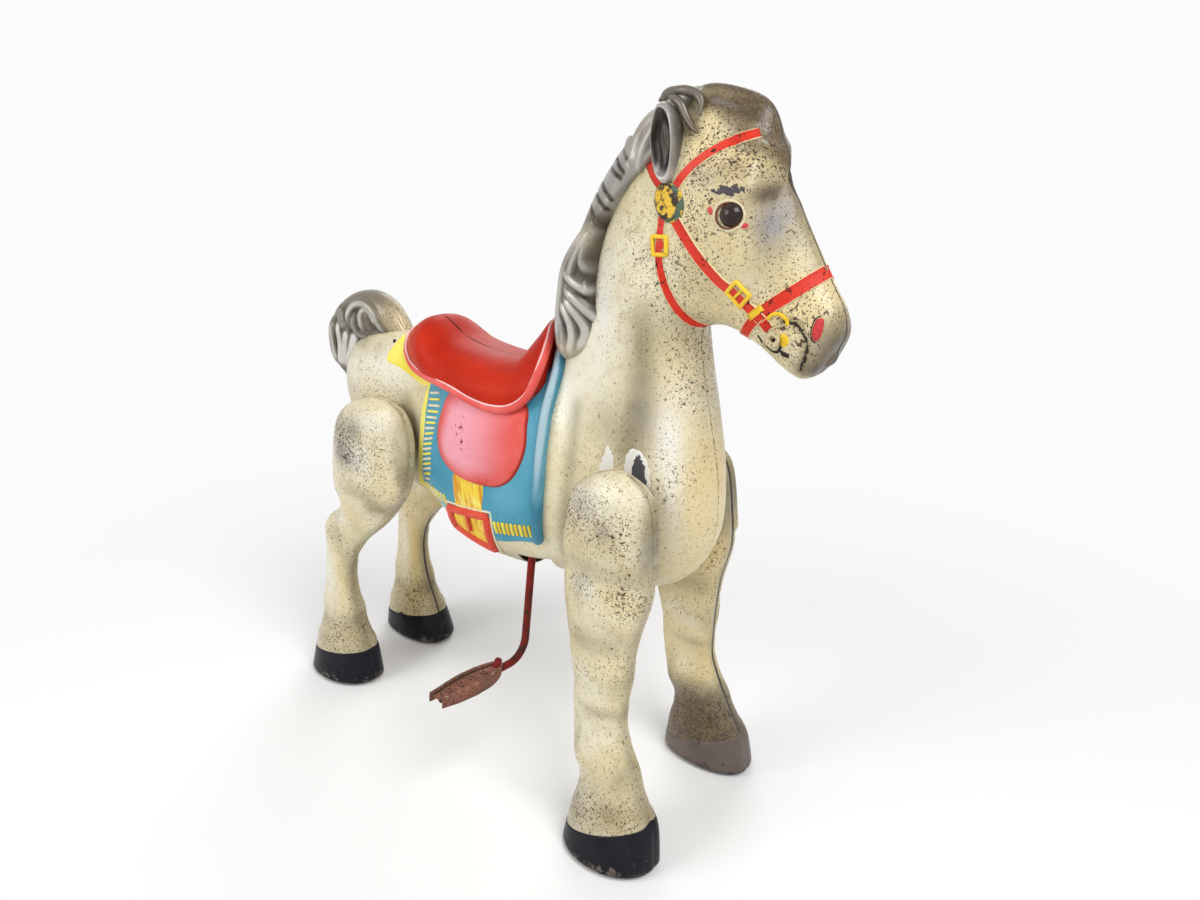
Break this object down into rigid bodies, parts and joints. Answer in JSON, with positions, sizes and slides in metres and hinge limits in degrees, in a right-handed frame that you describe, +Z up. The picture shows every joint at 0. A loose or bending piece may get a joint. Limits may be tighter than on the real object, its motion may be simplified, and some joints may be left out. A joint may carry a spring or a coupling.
{
  "type": "ride on horse on wheels",
  "caption": "Pressed-steel ride-on horse on wheels: hollow swinging legs worked by side stirrups, rollers with a ratchet inside the hooves, a formed saddle and rein eyelets by the mouth.",
  "frame": {"origin": "floor level, under the middle of the part's box", "axes": "+X the way the horse faces, +Y its left side, +Z up"},
  "size_m": [0.7079, 0.3686, 0.76],
  "materials": {
    "cream_enamel": "worn gloss with rust speckle",
    "red_enamel": "worn gloss",
    "blue_enamel": "worn gloss",
    "yellow_enamel": "worn gloss",
    "grey_enamel": "metallic grey",
    "black_enamel": "chipped gloss",
    "black_eye": "polished",
    "rusty_steel": "rusted",
    "plain_steel": "dull",
    "spring_steel": "bright drawn",
    "brass": "dull",
    "tyre": "matt"
  },
  "bodies": {
    "body": {"body_left": "cream_enamel", "body_right": "cream_enamel", "seam_clips": "plain_steel", "spring_hanger": "plain_steel", "eye_left": "black_eye", "eye_right": "black_eye", "rein_eyelet_left": "brass", "rein_eyelet_right": "brass", "front_axle": "plain_steel", "rear_axle": "plain_steel", "front_axle_nuts": "plain_steel", "rear_axle_nuts": "plain_steel", "front_bush_left": "brass", "front_bush_right": "brass", "rear_bush_left": "brass", "rear_bush_right": "brass", "return_spring_left": "spring_steel", "return_spring_right": "spring_steel"},
    "front_leg_left": {"front_leg_outer_left": "cream_enamel", "front_leg_inner_left": "cream_enamel", "front_crank_left": "plain_steel", "front_fork_left": "plain_steel", "front_pin_left": "plain_steel", "front_pawl_left": "spring_steel", "stirrup_rod_left": "red_enamel", "stirrup_tread_left": "rusty_steel"},
    "rear_leg_left": {"rear_leg_outer_left": "cream_enamel", "rear_leg_inner_left": "cream_enamel", "rear_crank_left": "plain_steel", "rear_fork_left": "plain_steel", "rear_pin_left": "plain_steel", "rear_pawl_left": "spring_steel"},
    "front_roller_left": {"front_wheel_left": "plain_steel", "front_tyre_left": "tyre"},
    "rear_roller_left": {"rear_wheel_left": "plain_steel", "rear_tyre_left": "tyre"},
    "front_leg_right": {"front_leg_outer_right": "cream_enamel", "front_leg_inner_right": "cream_enamel", "front_crank_right": "plain_steel", "front_fork_right": "plain_steel", "front_pin_right": "plain_steel", "front_pawl_right": "spring_steel", "stirrup_rod_right": "red_enamel", "stirrup_tread_right": "rusty_steel"},
    "rear_leg_right": {"rear_leg_outer_right": "cream_enamel", "rear_leg_inner_right": "cream_enamel", "rear_crank_right": "plain_steel", "rear_fork_right": "plain_steel", "rear_pin_right": "plain_steel", "rear_pawl_right": "spring_steel"},
    "front_roller_right": {"front_wheel_right": "plain_steel", "front_tyre_right": "tyre"},
    "rear_roller_right": {"rear_wheel_right": "plain_steel", "rear_tyre_right": "tyre"}
  },
  "joints": [
    {"name": "front_left_swing", "type": "hinge", "parent": "body", "child": "front_leg_left", "pos_m": [0.168, 0.071, 0.372], "axis": [0, -1, 0], "range_deg": [0, 12], "stiffness_Nm_per_rad": 6, "springref_deg": -17.19, "deforming": ["return_spring_left"]},
    {"name": "rear_left_swing", "type": "hinge", "parent": "body", "child": "rear_leg_left", "pos_m": [-0.208, 0.062, 0.372], "axis": [0, 1, 0], "range_deg": [0, 7.3]},
    {"name": "front_left_roll", "type": "hinge", "parent": "front_leg_left", "child": "front_roller_left", "pos_m": [0.195, 0.09365, 0.021], "axis": [0, 1, 0], "continuous": true},
    {"name": "rear_left_roll", "type": "hinge", "parent": "rear_leg_left", "child": "rear_roller_left", "pos_m": [-0.3, 0.062, 0.021], "axis": [0, 1, 0], "continuous": true},
    {"name": "front_right_swing", "type": "hinge", "parent": "body", "child": "front_leg_right", "pos_m": [0.168, -0.071, 0.372], "axis": [0, -1, 0], "range_deg": [0, 12], "stiffness_Nm_per_rad": 6, "springref_deg": -17.19, "deforming": ["return_spring_right"]},
    {"name": "rear_right_swing", "type": "hinge", "parent": "body", "child": "rear_leg_right", "pos_m": [-0.208, -0.062, 0.372], "axis": [0, 1, 0], "range_deg": [0, 7.3]},
    {"name": "front_right_roll", "type": "hinge", "parent": "front_leg_right", "child": "front_roller_right", "pos_m": [0.195, -0.09365, 0.021], "axis": [0, 1, 0], "continuous": true},
    {"name": "rear_right_roll", "type": "hinge", "parent": "rear_leg_right", "child": "rear_roller_right", "pos_m": [-0.3, -0.062, 0.021], "axis": [0, 1, 0], "continuous": true}
  ],
  "couplings": [
    {"joint": "rear_left_swing", "follows": "front_left_swing", "ratio": 0.608},
    {"joint": "rear_right_swing", "follows": "front_right_swing", "ratio": 0.608}
  ]
}
